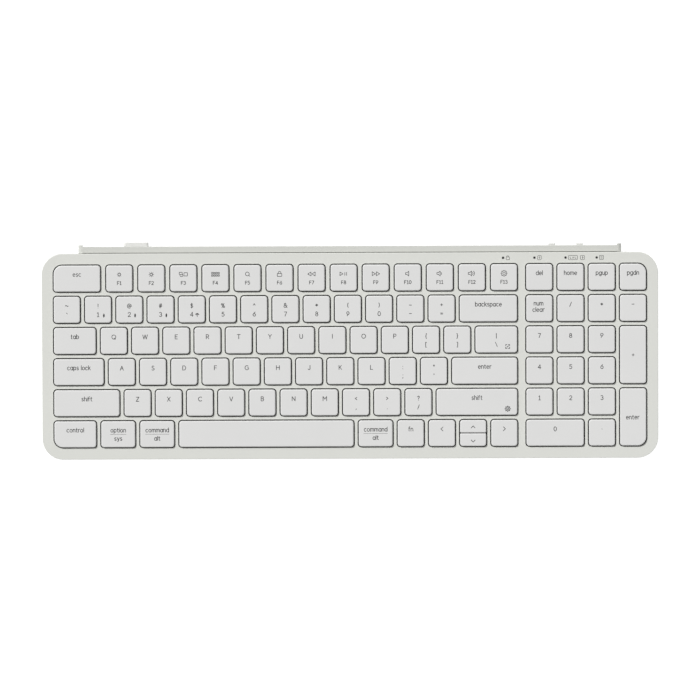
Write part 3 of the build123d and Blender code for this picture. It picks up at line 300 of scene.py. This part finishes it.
X_HEIGHT = 0.72             # height of the small letters
LETTER_SPACE = 0.23         # gap between two letters
GLYPHS = {
    "A": (0.78, [[(0, 0), (0.39, 1), (0.78, 0)], [(0.14, 0.34), (0.64, 0.34)]]),
    "B": (0.62, [[(0, 0), (0, 1), (0.32, 1)] + arc(0.32, 0.76, 0.23, 0.24, 90, -90) + [(0, 0.52)],
                 [(0.3, 0.52)] + arc(0.34, 0.26, 0.27, 0.26, 90, -90) + [(0, 0)]]),
    "C": (0.78, [arc(0.48, 0.5, 0.46, 0.5, 48, 312)]),
    "D": (0.74, [[(0, 0), (0, 1), (0.28, 1)] + arc(0.28, 0.5, 0.46, 0.5, 90, -90) + [(0, 0)]]),
    "E": (0.56, [[(0.56, 0), (0, 0), (0, 1), (0.56, 1)], [(0, 0.52), (0.5, 0.52)]]),
    "F": (0.54, [[(0, 0), (0, 1), (0.54, 1)], [(0, 0.5), (0.46, 0.5)]]),
    "G": (0.84, [arc(0.48, 0.5, 0.46, 0.5, 48, 330) + [(0.88, 0.25), (0.88, 0.48), (0.55, 0.48)]]),
    "H": (0.7, [[(0, 0), (0, 1)], [(0.7, 0), (0.7, 1)], [(0, 0.52), (0.7, 0.52)]]),
    "I": (0.0, [[(0, 0), (0, 1)]]),
    "J": (0.48, [arc(0.22, 0.26, 0.24, 0.26, 200, 360) + [(0.46, 1)]]),
    "K": (0.62, [[(0, 0), (0, 1)], [(0.58, 1), (0.02, 0.42)], [(0.2, 0.58), (0.62, 0)]]),
    "L": (0.52, [[(0, 1), (0, 0), (0.52, 0)]]),
    "M": (0.86, [[(0, 0), (0, 1), (0.43, 0.38), (0.86, 1), (0.86, 0)]]),
    "N": (0.72, [[(0, 0), (0, 1), (0.72, 0), (0.72, 1)]]),
    "O": (0.94, [ring(0.47, 0.5, 0.47, 0.5)]),
    "P": (0.58, [[(0, 0), (0, 1), (0.3, 1)] + arc(0.3, 0.72, 0.28, 0.28, 90, -90) + [(0, 0.44)]]),
    "Q": (0.94, [ring(0.47, 0.5, 0.47, 0.5), [(0.58, 0.24), (0.86, -0.04)]]),
    "R": (0.62, [[(0, 0), (0, 1), (0.32, 1)] + arc(0.32, 0.73, 0.27, 0.27, 90, -90) + [(0, 0.46)],
                 [(0.32, 0.46), (0.62, 0)]]),
    "S": (0.58, [arc(0.31, 0.75, 0.26, 0.25, 35, 250) + arc(0.28, 0.26, 0.29, 0.26, 62, -150)]),
    "T": (0.7, [[(0, 1), (0.7, 1)], [(0.35, 1), (0.35, 0)]]),
    "U": (0.68, [[(0, 1), (0, 0.34)] + arc(0.34, 0.34, 0.34, 0.34, 180, 360) + [(0.68, 1)]]),
    "V": (0.76, [[(0, 1), (0.38, 0), (0.76, 1)]]),
    "W": (1.12, [[(0, 1), (0.28, 0), (0.56, 1), (0.84, 0), (1.12, 1)]]),
    "X": (0.68, [[(0, 1), (0.68, 0)], [(0, 0), (0.68, 1)]]),
    "Y": (0.7, [[(0, 1), (0.35, 0.46), (0.7, 1)], [(0.35, 0.46), (0.35, 0)]]),
    "Z": (0.64, [[(0, 1), (0.64, 1), (0, 0), (0.64, 0)]]),
    "0": (0.62, [ring(0.31, 0.5, 0.31, 0.5)]),
    "1": (0.44, [[(0.02, 0.82), (0.24, 1), (0.24, 0)], [(0.04, 0), (0.44, 0)]]),
    "2": (0.58, [arc(0.28, 0.72, 0.28, 0.28, 165, -30) + [(0, 0), (0.58, 0)]]),
    "3": (0.56, [arc(0.26, 0.75, 0.25, 0.25, 150, -80) + arc(0.27, 0.27, 0.29, 0.27, 75, -150)]),
    "4": (0.64, [[(0.46, 0), (0.46, 1), (0, 0.28), (0.64, 0.28)]]),
    "5": (0.56, [[(0.52, 1), (0.08, 1), (0.05, 0.55)] + arc(0.26, 0.32, 0.3, 0.32, 110, -145)]),
    "6": (0.6, [ring(0.3, 0.32, 0.3, 0.32), [(0.5, 1), (0.06, 0.48)]]),
    "7": (0.56, [[(0, 1), (0.56, 1), (0.18, 0)]]),
    "8": (0.58, [ring(0.29, 0.76, 0.23, 0.24), ring(0.29, 0.26, 0.29, 0.26)]),
    "9": (0.6, [ring(0.3, 0.68, 0.3, 0.32), [(0.1, 0), (0.54, 0.52)]]),
    "a": (0.54, [ring(0.27, 0.36, 0.27, 0.36), [(0.54, 0.72), (0.54, 0)]]),
    "b": (0.54, [[(0, 1.05), (0, 0)], ring(0.27, 0.36, 0.27, 0.36)]),
    "c": (0.5, [arc(0.28, 0.36, 0.28, 0.36, 50, 310)]),
    "d": (0.54, [ring(0.27, 0.36, 0.27, 0.36), [(0.54, 1.05), (0.54, 0)]]),
    "e": (0.54, [[(0.02, 0.38), (0.54, 0.38)] + arc(0.27, 0.36, 0.27, 0.36, 5, 310)]),
    "f": (0.34, [[(0.12, 0)] + arc(0.34, 0.86, 0.22, 0.2, 180, 90), [(0, 0.7), (0.32, 0.7)]]),
    "g": (0.54, [ring(0.27, 0.36, 0.27, 0.36),
                 [(0.54, 0.72), (0.54, -0.04)] + arc(0.28, -0.04, 0.26, 0.24, 0, -150)]),
    "h": (0.48, [[(0, 1.05), (0, 0)], [(0, 0.4)] + arc(0.24, 0.46, 0.24, 0.26, 180, 0) + [(0.48, 0)]]),
    "i": (0.0, [[(0, 0.72), (0, 0)], dot(0, 0.96)]),
    "k": (0.44, [[(0, 1.05), (0, 0)], [(0.42, 0.72), (0.02, 0.32)], [(0.16, 0.44), (0.44, 0)]]),
    "l": (0.0, [[(0, 1.05), (0, 0)]]),
    "m": (0.8, [[(0, 0.72), (0, 0)], [(0, 0.44)] + arc(0.2, 0.48, 0.2, 0.24, 180, 0) + [(0.4, 0)],
                [(0.4, 0.44)] + arc(0.6, 0.48, 0.2, 0.24, 180, 0) + [(0.8, 0)]]),
    "n": (0.48, [[(0, 0.72), (0, 0)], [(0, 0.42)] + arc(0.24, 0.46, 0.24, 0.26, 180, 0) + [(0.48, 0)]]),
    "o": (0.56, [ring(0.28, 0.36, 0.28, 0.36)]),
    "p": (0.54, [[(0, 0.72), (0, -0.3)], ring(0.27, 0.36, 0.27, 0.36)]),
    "r": (0.3, [[(0, 0.72), (0, 0)], [(0, 0.44)] + arc(0.26, 0.44, 0.26, 0.27, 180, 75)]),
    "s": (0.42, [arc(0.22, 0.54, 0.19, 0.18, 40, 245) + arc(0.2, 0.19, 0.21, 0.18, 62, -145)]),
    "t": (0.34, [[(0.13, 0.96), (0.13, 0.2)] + arc(0.3, 0.18, 0.17, 0.18, 180, 280),
                 [(0, 0.7), (0.32, 0.7)]]),
    "u": (0.48, [[(0, 0.72), (0, 0.26)] + arc(0.24, 0.26, 0.24, 0.26, 180, 360), [(0.48, 0.72), (0.48, 0)]]),
    "y": (0.5, [[(0, 0.72), (0.26, 0.02)], [(0.5, 0.72), (0.2, -0.22), (0.04, -0.28)]]),
    "~": (0.66, [arc(0.17, 0.5, 0.17, 0.12, 180, 20) + arc(0.49, 0.52, 0.17, 0.12, 200, 360)]),
    "`": (0.16, [[(0, 0.9), (0.16, 0.7)]]),
    "!": (0.0, [[(0, 1), (0, 0.32)], dot(0, 0)]),
    "@": (0.96, [ring(0.5, 0.46, 0.17, 0.19), arc(0.48, 0.46, 0.48, 0.5, 0, 300),
                 [(0.67, 0.62), (0.67, 0.36)] + arc(0.8, 0.38, 0.13, 0.12, 180, 340)]),
    "#": (0.66, [[(0.14, 0), (0.26, 1)], [(0.4, 0), (0.52, 1)],
                 [(0.02, 0.66), (0.66, 0.66)], [(0, 0.34), (0.62, 0.34)]]),
    "$": (0.54, [arc(0.28, 0.7, 0.24, 0.21, 40, 250) + arc(0.26, 0.3, 0.27, 0.21, 65, -145),
                 [(0.27, 1.08), (0.27, -0.08)]]),
    "%": (0.78, [[(0.64, 1), (0.14, 0)], ring(0.16, 0.78, 0.16, 0.2), ring(0.62, 0.22, 0.16, 0.2)]),
    "^": (0.44, [[(0, 0.55), (0.22, 0.95), (0.44, 0.55)]]),
    "&": (0.74, [[(0.74, 0), (0.16, 0.66)] + arc(0.31, 0.79, 0.19, 0.21, 215, -40) + [(0.12, 0.42)]
                 + arc(0.29, 0.25, 0.28, 0.25, 140, 330) + [(0.72, 0.5)]]),
    "*": (0.46, [[(0.23, 0.26), (0.23, 0.8)], [(0, 0.4), (0.46, 0.66)], [(0, 0.66), (0.46, 0.4)]]),
    "(": (0.2, [arc(0.44, 0.48, 0.42, 0.66, 128, 232)]),
    ")": (0.2, [arc(-0.24, 0.48, 0.42, 0.66, 52, -52)]),
    "_": (0.56, [[(0, 0.45), (0.56, 0.45)]]),
    "-": (0.54, [[(0, 0.5), (0.54, 0.5)]]),
    "+": (0.52, [[(0, 0.5), (0.52, 0.5)], [(0.26, 0.24), (0.26, 0.76)]]),
    "=": (0.5, [[(0, 0.61), (0.5, 0.61)], [(0, 0.37), (0.5, 0.37)]]),
    "{": (0.26, [[(0.26, 1.08), (0.13, 1.0), (0.13, 0.6), (0, 0.48),
                  (0.13, 0.36), (0.13, -0.02), (0.26, -0.1)]]),
    "}": (0.26, [[(0, 1.08), (0.13, 1.0), (0.13, 0.6), (0.26, 0.48),
                  (0.13, 0.36), (0.13, -0.02), (0, -0.1)]]),
    "[": (0.2, [[(0.2, 1.06), (0, 1.06), (0, -0.1), (0.2, -0.1)]]),
    "]": (0.2, [[(0, 1.06), (0.2, 1.06), (0.2, -0.1), (0, -0.1)]]),
    "|": (0.0, [[(0, 1.08), (0, -0.08)]]),
    "\\": (0.4, [[(0, 1), (0.4, 0)]]),
    "/": (0.4, [[(0, 0), (0.4, 1)]]),
    ":": (0.0, [dot(0, 0.12), dot(0, 0.72)]),
    ";": (0.06, [dot(0.06, 0.72), [(0.06, 0.12), (0, -0.1)]]),
    "\"": (0.2, [[(0, 1), (0, 0.74)], [(0.2, 1), (0.2, 0.74)]]),
    "'": (0.0, [[(0, 1), (0, 0.74)]]),
    "<": (0.4, [[(0.4, 0.8), (0, 0.5), (0.4, 0.2)]]),
    ">": (0.4, [[(0, 0.8), (0.4, 0.5), (0, 0.2)]]),
    ",": (0.06, [[(0.06, 0.1), (0, -0.1)]]),
    ".": (0.0, [dot(0, 0.06)]),
    "?": (0.44, [arc(0.22, 0.77, 0.22, 0.23, 165, -40) + [(0.22, 0.42), (0.22, 0.3)], dot(0.22, 0)]),
    " ": (0.22, []),
}


def word_strokes(text, height, middle_x, middle_y, tall=1.0):
    """The strokes of a word centred on a point; tall is the height that is centred, in capital heights."""
    width = sum(GLYPHS[letter][0] for letter in text) + LETTER_SPACE * (len(text) - 1)
    pen_x = -width / 2
    strokes = []
    for letter in text:
        advance, lines = GLYPHS[letter]
        for line in lines:
            strokes.append([(middle_x + (pen_x + x) * height, middle_y + (y - tall / 2) * height)
                            for x, y in line])
        pen_x += advance + LETTER_SPACE
    return strokes


# ---------------------------------------------------------------- small pictures, in millimetres
def moved(strokes, x, y):
    return [[(px + x, py + y) for px, py in stroke] for stroke in strokes]


def scaled(strokes, size):
    return [[(px * size, py * size) for px, py in stroke] for stroke in strokes]


def sun(disc, inner, outer):
    """A small ring with eight rays round it."""
    strokes = [ring(0, 0, disc, disc)]
    for index in range(8):
        angle = math.radians(45 * index)
        c, s = math.cos(angle), math.sin(angle)
        strokes.append([(inner * c, inner * s), (outer * c, outer * s)])
    return strokes


def overview_picture():
    """Two panes, one over the other, and a larger one beside them."""
    return [box_line(-2.5, -0.1, -0.7, 1.3, 0.2), box_line(-2.0, -1.2, -0.3, -0.1, 0.2),
            box_line(0.35, -0.95, 2.5, 1.05, 0.25)]


def grid_picture():
    """A board of two rows of four icons."""
    half_width, half_height = 0.42, 0.45
    strokes = []
    for column in (-1.5, -0.5, 0.5, 1.5):
        for row in (-1, 1):
            x, y = column * 1.3, row * 0.75
            strokes.append(box_line(x - half_width, y - half_height, x + half_width, y + half_height, 0.1))
    return strokes


def magnifier_picture():
    """A lens with a short handle."""
    return [ring(-0.1, 0.15, 1.15, 1.15), [(0.75, -0.7), (1.35, -1.3)]]


def lock_picture():
    """A padlock."""
    shackle = [(-0.75, 0.35)] + arc(0, 0.85, 0.75, 0.8, 180, 0) + [(0.75, 0.35)]
    return [box_line(-1.35, -1.45, 1.35, 0.35, 0.25), shackle]


def triangle(x, side):
    """A triangle that points left (side -1) or right (side 1)."""
    return [(x - 0.85 * side, 1.1), (x + 0.95 * side, 0), (x - 0.85 * side, -1.1), (x - 0.85 * side, 1.1)]


def rewind_picture():
    return scaled([triangle(-1.2, -1), triangle(1.1, -1)], 1.1)


def play_picture():
    """A triangle for play and two bars for pause."""
    return [triangle(-1.4, 1), [(0.7, 0.95), (0.7, -0.95)], [(1.8, 0.95), (1.8, -0.95)]]


def forward_picture():
    return scaled([triangle(-1.1, 1), triangle(1.2, 1)], 1.1)


def speaker_picture(waves):
    """A loudspeaker with a number of sound waves in front of it."""
    strokes = [[(-0.45, 0.5), (-1.25, 0.5), (-1.25, -0.5), (-0.45, -0.5),
                (0.5, -1.3), (0.5, 1.3), (-0.45, 0.5)]]
    for index in range(waves):
        reach = 0.7 + 0.8 * index
        strokes.append(arc(0.6, 0, reach, reach * 1.05, 50, -50))
    return scaled(moved(strokes, -0.35 * waves, 0), 1.12)


def lamp_picture():
    """A sun in a ring."""
    return sun(0.75, 1.6, 1.95) + [ring(0, 0, 1.6, 1.6)]


def link_mark():
    """A small upright mark for a stored wireless channel: a bar between two short arcs."""
    return [[(0, -0.85), (0, 0.85)], arc(0, 0, 0.26, 0.7, 60, -60), arc(0, 0, 0.26, 0.7, 120, 240)]


def radio_mark():
    """A mast under two waves."""
    return [[(0, -0.7), (0, 0.1)], arc(0, 0.1, 0.45, 0.45, 20, 160), arc(0, 0.1, 0.85, 0.8, 20, 160)]


def capture_mark():
    """Corner marks of a screen capture."""
    strokes = []
    for sx in (-1, 1):
        for sy in (-1, 1):
            strokes.append([(sx * 0.35, sy * 0.95), (sx * 0.95, sy * 0.95), (sx * 0.95, sy * 0.35)])
    return strokes + [[(-0.35, -0.35), (0.4, 0.35)]]


def gear_mark():
    """A small toothed wheel."""
    return sun(1.3, 1.45, 1.8) + [ring(0, 0, 0.6, 0.6)]


FUNCTION_PICTURES = [
    sun(0.72, 1.05, 1.2), sun(0.72, 1.1, 1.45), overview_picture(), grid_picture(), magnifier_picture(),
    lock_picture(), rewind_picture(), play_picture(), forward_picture(),
    speaker_picture(0), speaker_picture(1), speaker_picture(2), lamp_picture(),
]


# ---------------------------------------------------------------- what is printed on each key
WORD_LINE = UPPER_LINE - 0.1    # middle of a single word above the middle of a key
MARK_LINE = -3.5                # middle of the small marks beside the digits


class Rule(list):
    """A stroke that is drawn with the thin pen."""


def letter(text, y=UPPER_LINE):
    return word_strokes(text, LETTER_HEIGHT, 0, y)


def word(text, y=WORD_LINE, x=0.0):
    return word_strokes(text, WORD_HEIGHT, x, y, X_HEIGHT)


def pair(upper, lower):
    return letter(upper) + letter(lower, LOWER_LINE)


def letters(text):
    return [letter(character) for character in text]


def stacked(upper, lower, rule):
    """Two words with a rule of a given length between them."""
    return word(upper, 2.2) + word(lower, LOWER_LINE) + [Rule([(-rule / 2, 0.0), (rule / 2, 0.0)])]


def function_key(picture, number):
    """A picture over the key's name."""
    return moved(picture, 0, 2.45) + word_strokes("F" + str(number), FUNCTION_HEIGHT, 0, -2.75)


def function_row():
    numbered = enumerate(FUNCTION_PICTURES, 1)
    return [word("esc")] + [function_key(picture, number) for number, picture in numbered]


def number_row():
    """Signs over digits; 1 to 3 also have a channel mark, and 4 has a radio mark."""
    legends = [pair(upper, digit) for upper, digit in zip("~!@#$%^&*()_+", "`1234567890-=")]
    for digit in (1, 2, 3):
        legends[digit] += moved(scaled(link_mark(), 1.25), 3.5, MARK_LINE)
    legends[4] += moved(scaled(radio_mark(), 1.25), 3.3, MARK_LINE)
    return legends


def backslash_key():
    return pair("|", "\\") + moved(scaled(capture_mark(), 1.25), 6.9, -4.2)


def chevron(direction):
    """An open arrow head; direction is one of the characters < > ^ v."""
    reach, half = 0.62, 1.2
    if direction in "<>":
        side = 1 if direction == ">" else -1
        return [[(-reach * side, half), (reach * side, 0), (-reach * side, -half)]]
    side = 1 if direction == "^" else -1
    return [[(-half, -reach * side), (0, reach * side), (half, -reach * side)]]


# The legends of each node's keycaps from left to right.
LEGENDS = {
    "function_row_keys": function_row(),
    "number_row_keys": number_row(),
    "key_backspace": [word("backspace")],
    "key_tab": [word("tab")],
    "top_letter_row_keys": letters("QWERTYUIOP") + [pair("{", "["), pair("}", "]"), backslash_key()],
    "key_caps_lock": [word("caps lock")],
    "home_letter_row_keys": letters("ASDFGHJKL") + [pair(":", ";"), pair("\"", "'")],
    "key_enter": [word("enter")],
    "key_left_shift": [word("shift")],
    "bottom_letter_row_keys": letters("ZXCVBNM") + [pair("<", ","), pair(">", "."), pair("?", "/")],
    "key_right_shift": [word("shift") + moved(gear_mark(), 18.75, -4.2)],
    "modifier_keys": [word("control"), stacked("option", "sys", 9.6), stacked("command", "alt", 14.6),
                      stacked("command", "alt", 14.6), word("fn")],
    "key_left": [moved(chevron("<"), 0, 2.6)],
    "key_right": [moved(chevron(">"), 0, 2.6)],
    "key_up": [moved(chevron("^"), 0, -0.3)],
    "key_down": [moved(chevron("v"), 0, -0.75)],
    "key_delete": [word("del")],
    "key_home": [word("home")],
    "key_page_up": [word("pgup")],
    "key_page_down": [word("pgdn")],
    "key_num_lock": [word("num", 2.8, -0.5) + word("clear", -1.1, -0.5)],
    "key_divide": [letter("/")],
    "key_multiply": [letter("*")],
    "key_minus": [letter("-")],
    "key_plus": [letter("+", -0.1)],
    "key_keypad_enter": [word("enter", -0.4, -0.3)],
    "key_decimal": [letter(".", 3.4)],
}
for digit in "0123456789":
    LEGENDS["key_" + digit] = [letter(digit)]


# ---------------------------------------------------------------- turning strokes into thin raised ink
SHARP_TURN = 70             # a line is broken where it turns by more than this, degrees
ROUND_END = (22, 50, 80)    # where the points of a stroke's round end lie, degrees
CLOSED_WITHIN = 0.02        # a line whose ends are this close is closed, mm
LEAST_STEP = 0.01           # points closer together than this are one point, mm
LONGEST_MITRE = 1.5         # how far a corner may stand out, in half pen widths
STROKE_LIFT = 0.0006        # from one stroke's top to the next one's, mm
LIFTS = 9                   # then the tops start again at the first height


def direction_of(a, b):
    """The unit vector from one point to another."""
    dx, dy = b[0] - a[0], b[1] - a[1]
    length = math.hypot(dx, dy) or 1.0
    return dx / length, dy / length


def split_at_sharp_corners(stroke):
    """Break a line where it turns sharply, so that each piece can have round ends."""
    pieces = [[stroke[0]]]
    for index in range(1, len(stroke) - 1):
        pieces[-1].append(stroke[index])
        ax, ay = direction_of(stroke[index - 1], stroke[index])
        bx, by = direction_of(stroke[index], stroke[index + 1])
        if ax * bx + ay * by < math.cos(math.radians(SHARP_TURN)):
            pieces.append([stroke[index]])
    pieces[-1].append(stroke[-1])
    return pieces


def without_repeats(stroke):
    kept = [stroke[0]]
    for point in stroke[1:]:
        if math.dist(point, kept[-1]) > LEAST_STEP:
            kept.append(point)
    return kept


def round_end(point, dx, dy, half, beyond, angles):
    """Left and right points of a stroke's end; beyond is 1 after its last point, -1 before its first."""
    left, right = [], []
    for angle in angles:
        reach, wide = half * math.sin(math.radians(angle)), half * math.cos(math.radians(angle))
        cx, cy = point[0] + beyond * dx * reach, point[1] + beyond * dy * reach
        left.append((cx - dy * wide, cy + dx * wide))
        right.append((cx + dy * wide, cy - dx * wide))
    return left, right


def ribbon_sides(stroke, half):
    """Left and right edge points of a stroke, with round ends unless it is closed."""
    closed = len(stroke) > 3 and math.dist(stroke[0], stroke[-1]) < CLOSED_WITHIN
    left, right = [], []
    last = len(stroke) - 1
    if not closed:
        dx, dy = direction_of(stroke[0], stroke[1])
        left, right = round_end(stroke[0], dx, dy, half, -1, reversed(ROUND_END))
    for index, (x, y) in enumerate(stroke):
        before = stroke[index - 1] if index > 0 else (stroke[-2] if closed else stroke[0])
        after = stroke[index + 1] if index < last else (stroke[1] if closed else stroke[-1])
        ax, ay = direction_of(before, (x, y)) if before != (x, y) else direction_of((x, y), after)
        bx, by = direction_of((x, y), after) if after != (x, y) else (ax, ay)
        mx, my = direction_of((0, 0), (ax + bx, ay + by))
        mitre = min(LONGEST_MITRE, 1.0 / (ax * mx + ay * my))
        left.append((x - my * half * mitre, y + mx * half * mitre))
        right.append((x + my * half * mitre, y - mx * half * mitre))
    if not closed:
        dx, dy = direction_of(stroke[-2], stroke[-1])
        end_left, end_right = round_end(stroke[-1], dx, dy, half, 1, ROUND_END)
        left += end_left
        right += end_right
    return left, right, closed


def add_stroke(mesh, stroke, pen, place, top):
    """One closed, very thin solid for a stroke. place turns printing coordinates into the frame's."""
    stroke = without_repeats(stroke)
    if len(stroke) == 1:
        stroke = dot(*stroke[0])
    left, right, closed = ribbon_sides(stroke, pen / 2)
    rings = []
    count = len(left) - 1 if closed else len(left)
    for index in range(count):
        (lx, ly), (rx, ry) = left[index], right[index]
        rings.append([mesh.verts.new(place(lx, ly, top)), mesh.verts.new(place(rx, ry, top)),
                      mesh.verts.new(place(rx, ry, -INK_DEPTH)), mesh.verts.new(place(lx, ly, -INK_DEPTH))])
    steps = count if closed else count - 1
    for index in range(steps):
        here, following = rings[index], rings[(index + 1) % count]
        for corner in range(4):
            other = (corner + 1) % 4
            mesh.faces.new((here[corner], following[corner], following[other], here[other]))
    if not closed:
        mesh.faces.new(rings[0])
        mesh.faces.new(list(reversed(rings[-1])))


def print_strokes(mesh, strokes, pen, x, t, height):
    """Print strokes round a middle point; each stroke ends a hair higher than the last, so none coincide."""
    def place(px, py, up):
        return Vector((x + px * MM, 0, 0)) + along * (t + py * MM) + normal * (height + up * MM)

    number = 0
    for stroke in strokes:
        width = RULE_PEN if isinstance(stroke, Rule) else pen
        for piece in split_at_sharp_corners(stroke):
            add_stroke(mesh, piece, width, place, INK_HEIGHT + STROKE_LIFT * (number % LIFTS))
            number += 1


def finish_mesh(mesh, name, body, finish):
    """Make a piece of a finished mesh, riding on a body and in the given material."""
    bmesh.ops.recalc_face_normals(mesh, faces=mesh.faces)
    data = bpy.data.meshes.new(name)
    mesh.to_mesh(data)
    mesh.free()
    piece = bpy.data.objects.new(name, data)
    bpy.context.scene.collection.objects.link(piece)
    data.materials.append(finish)
    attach(piece, body)
    return piece


def body_of_node(node):
    return next(body for body, nodes in frame["record"]["behaviour"]["bodies"].items() if node in nodes)


def make_legends(materials):
    """One printed piece for each node of keycaps, riding with it."""
    for node, legends in LEGENDS.items():
        caps = caps_of(node)
        if len(caps) != len(legends):
            raise ValueError(f"{node} has {len(caps)} caps and {len(legends)} legends")
        mesh = bmesh.new()
        pen = FUNCTION_PEN if node == "function_row_keys" else PEN
        for cap, strokes in zip(caps, legends):
            print_strokes(mesh, strokes, pen, cap.x, cap.t, cap.height)
        finish_mesh(mesh, "print_" + node, body_of_node(node), materials["ink"])


# ---------------------------------------------------------------- signs beside the indicators
def indicator_pictures():
    """For each lens, the signs beside it with their distances from the lens."""
    lock = [box_line(-0.85, -1.0, 0.85, 0.45, 0.25),
            [(-0.6, 0.45)] + arc(0, 0.65, 0.6, 0.4, 180, 0) + [(0.6, 0.45)]]
    number = [box_line(-0.95, -1.1, 0.95, 1.1, 0.4), [(-0.2, 0.35), (0.05, 0.55), (0.05, -0.55)]]
    wide = [box_line(-2.4, -1.1, 2.4, 1.1, 0.4), [(-1.5, 0.4), (-1.5, -0.4), (-0.9, -0.4)],
            [(-0.3, -0.4), (0.1, 0.4), (0.5, -0.4)], [(1.1, 0.4), (1.1, -0.4), (1.7, -0.4)]]
    channel = [box_line(-1.1, -1.1, 1.1, 1.1, 0.5), [(0, -0.6), (0, 0.6)], arc(0, 0, 0.35, 0.45, 60, -60)]
    lines = [box_line(-1.05, -1.1, 1.05, 1.1, 0.35),
             [(-0.5, 0.35), (0.5, 0.35)], [(-0.5, -0.35), (0.5, -0.35)]]
    return [[(2.9, lock)], [(3.1, number)], [(4.5, wide), (10.3, channel)], [(2.9, lines)]]


def make_case_printing(materials):
    """Faint outlined signs to the right of each indicator, printed on the rear margin."""
    mesh = bmesh.new()
    case_top = max(v.co.dot(normal) for v in frame["nodes"]["top_case"].data.vertices)
    for lens, pictures in zip(caps_of("indicator_lenses"), indicator_pictures()):
        for offset, strokes in pictures:
            print_strokes(mesh, scaled(strokes, SIGN_SIZE), SIGN_PEN, lens.x + offset * MM, lens.t, case_top)
    finish_mesh(mesh, "print_indicator_signs", body_of_node("top_case"), materials["soft_ink"])


# ---------------------------------------------------------------- floor, light and camera
FLOOR_SIZE = 60.0           # large enough to have no edge in a low view, m
FLOOR_GREY = 0.22           # dark enough to throw little light back under the keyboard
FLOOR_GLOW = 0.95           # the floor's own light, which makes it white
SKY_STRENGTH = 0.40
SUN_FROM = (-3.5, 3.8, 5.6)  # from the rear left
SUN_SPREAD = 7.0            # degrees; softens the shadows' edges
SUN_POWER = 2.75
VIEW_WIDTH = 0.4274         # width of the picture at the object, m
CAMERA_DISTANCE = 6.0       # above the middle of the object's height, m
SENSOR = 36.0               # mm
ROLL = -0.2                 # degrees; the object stands slightly turned in the picture
MIDDLE = (-0.00006, 0.0001)  # what lies in the middle of the picture, m
FARTHEST = 50               # how far the camera sees, m


def make_floor():
    bpy.ops.mesh.primitive_plane_add(size=FLOOR_SIZE, location=(0, 0, 0))
    floor = bpy.context.object
    floor.name = "floor"
    made, _, shader = new_material("floor")
    shader.inputs["Base Color"].default_value = (FLOOR_GREY, FLOOR_GREY, FLOOR_GREY, 1)
    shader.inputs["Roughness"].default_value = 0.9
    shader.inputs["Specular IOR Level"].default_value = 0.1
    shader.inputs["Emission Color"].default_value = (1, 1, 1, 1)
    shader.inputs["Emission Strength"].default_value = FLOOR_GLOW
    floor.data.materials.append(made)


def add_sun(name, direction, spread_angle, power):
    """A far light that shines from a direction towards the origin."""
    light = bpy.data.lights.new(name, "SUN")
    light.angle = math.radians(spread_angle)
    light.energy = power
    lamp = bpy.data.objects.new(name, light)
    lamp.location = direction
    lamp.rotation_mode = "QUATERNION"
    lamp.rotation_quaternion = (-Vector(direction)).to_track_quat("-Z", "Y")
    bpy.context.scene.collection.objects.link(lamp)


def make_light():
    world = bpy.data.worlds.new("studio")
    world.use_nodes = True
    sky = world.node_tree.nodes["Background"]
    sky.inputs["Color"].default_value = (1, 1, 1, 1)
    sky.inputs["Strength"].default_value = SKY_STRENGTH
    bpy.context.scene.world = world
    add_sun("key_light", SUN_FROM, SUN_SPREAD, SUN_POWER)


def make_camera():
    """A camera that looks straight down on the keyboard."""
    camera = bpy.data.cameras.new("camera")
    camera.sensor_width = SENSOR
    camera.lens = SENSOR * CAMERA_DISTANCE / VIEW_WIDTH
    camera.clip_end = FARTHEST
    eye = bpy.data.objects.new("camera", camera)
    middle_height = (cad_low.z + cad_high.z) / 2
    eye.location = (*MIDDLE, middle_height + CAMERA_DISTANCE)
    eye.rotation_euler = (0, 0, math.radians(ROLL))
    bpy.context.scene.collection.objects.link(eye)
    bpy.context.scene.camera = eye


def main():
    bpy.context.scene.view_settings.view_transform = "Standard"
    make_camera()
    materials = make_materials()
    paint_cad_nodes(materials)
    make_legends(materials)
    make_case_printing(materials)
    make_floor()
    make_light()


main()
